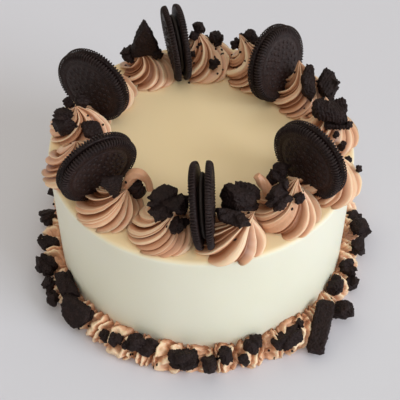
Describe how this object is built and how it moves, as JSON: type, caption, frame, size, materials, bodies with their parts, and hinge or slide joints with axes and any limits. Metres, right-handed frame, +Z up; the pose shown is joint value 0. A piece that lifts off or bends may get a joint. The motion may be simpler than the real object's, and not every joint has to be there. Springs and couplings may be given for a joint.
{
  "type": "cookies and cream cake",
  "caption": "Round cream-iced cake ringed with piped chocolate swirls and upright sandwich cookies, broken cookie on top and round the foot.",
  "frame": {"origin": "centre of the cake's flat base, on the plane it rests on", "axes": "+Z up along the cake's axis, -Y towards the front shown in the picture, +X to the right"},
  "size_m": [0.2163, 0.2193, 0.1352],
  "materials": {
    "cream_icing": "smooth cream icing, satin",
    "chocolate_frosting": "piped chocolate buttercream, satin",
    "dark_cookie": "dry dark chocolate wafer",
    "cookie_filling": "soft dark filling"
  },
  "bodies": {
    "root": {"iced_cake": "cream_icing", "swirl_01": "chocolate_frosting", "swirl_02": "chocolate_frosting", "swirl_03": "chocolate_frosting", "swirl_04": "chocolate_frosting", "swirl_05": "chocolate_frosting", "swirl_06": "chocolate_frosting", "swirl_07": "chocolate_frosting", "swirl_08": "chocolate_frosting", "swirl_09": "chocolate_frosting", "swirl_10": "chocolate_frosting", "swirl_11": "chocolate_frosting", "swirl_12": "chocolate_frosting", "swirl_13": "chocolate_frosting", "cookie_front_wafer_a": "dark_cookie", "cookie_front_filling": "cookie_filling", "cookie_front_wafer_b": "dark_cookie", "cookie_right_front_wafer_a": "dark_cookie", "cookie_right_front_filling": "cookie_filling", "cookie_right_front_wafer_b": "dark_cookie", "cookie_right_back_wafer_a": "dark_cookie", "cookie_right_back_filling": "cookie_filling", "cookie_right_back_wafer_b": "dark_cookie", "cookie_back_wafer_a": "dark_cookie", "cookie_back_filling": "cookie_filling", "cookie_back_wafer_b": "dark_cookie", "cookie_left_back_wafer_a": "dark_cookie", "cookie_left_back_filling": "cookie_filling", "cookie_left_back_wafer_b": "dark_cookie", "cookie_left_front_wafer_a": "dark_cookie", "cookie_left_front_filling": "cookie_filling", "cookie_left_front_wafer_b": "dark_cookie", "top_chunk_01": "dark_cookie", "top_chunk_02": "dark_cookie", "top_chunk_03": "dark_cookie", "top_chunk_04": "dark_cookie", "top_chunk_05": "dark_cookie", "top_chunk_06": "dark_cookie", "top_chunk_07": "dark_cookie", "top_chunk_08": "dark_cookie", "top_chunk_09": "dark_cookie", "top_chunk_10": "dark_cookie", "top_chunk_11": "dark_cookie", "top_chunk_12": "dark_cookie", "top_chunk_13": "dark_cookie", "top_chunk_14": "dark_cookie", "foot_chunk_01": "dark_cookie", "foot_chunk_02": "dark_cookie", "foot_chunk_03": "dark_cookie", "foot_chunk_04": "dark_cookie", "foot_chunk_05": "dark_cookie", "foot_chunk_06": "dark_cookie", "foot_chunk_07": "dark_cookie", "foot_chunk_08": "dark_cookie", "foot_chunk_09": "dark_cookie", "foot_chunk_10": "dark_cookie", "foot_chunk_11": "dark_cookie", "foot_chunk_12": "dark_cookie", "foot_chunk_13": "dark_cookie", "foot_border": "chocolate_frosting"}
  },
  "joints": []
}
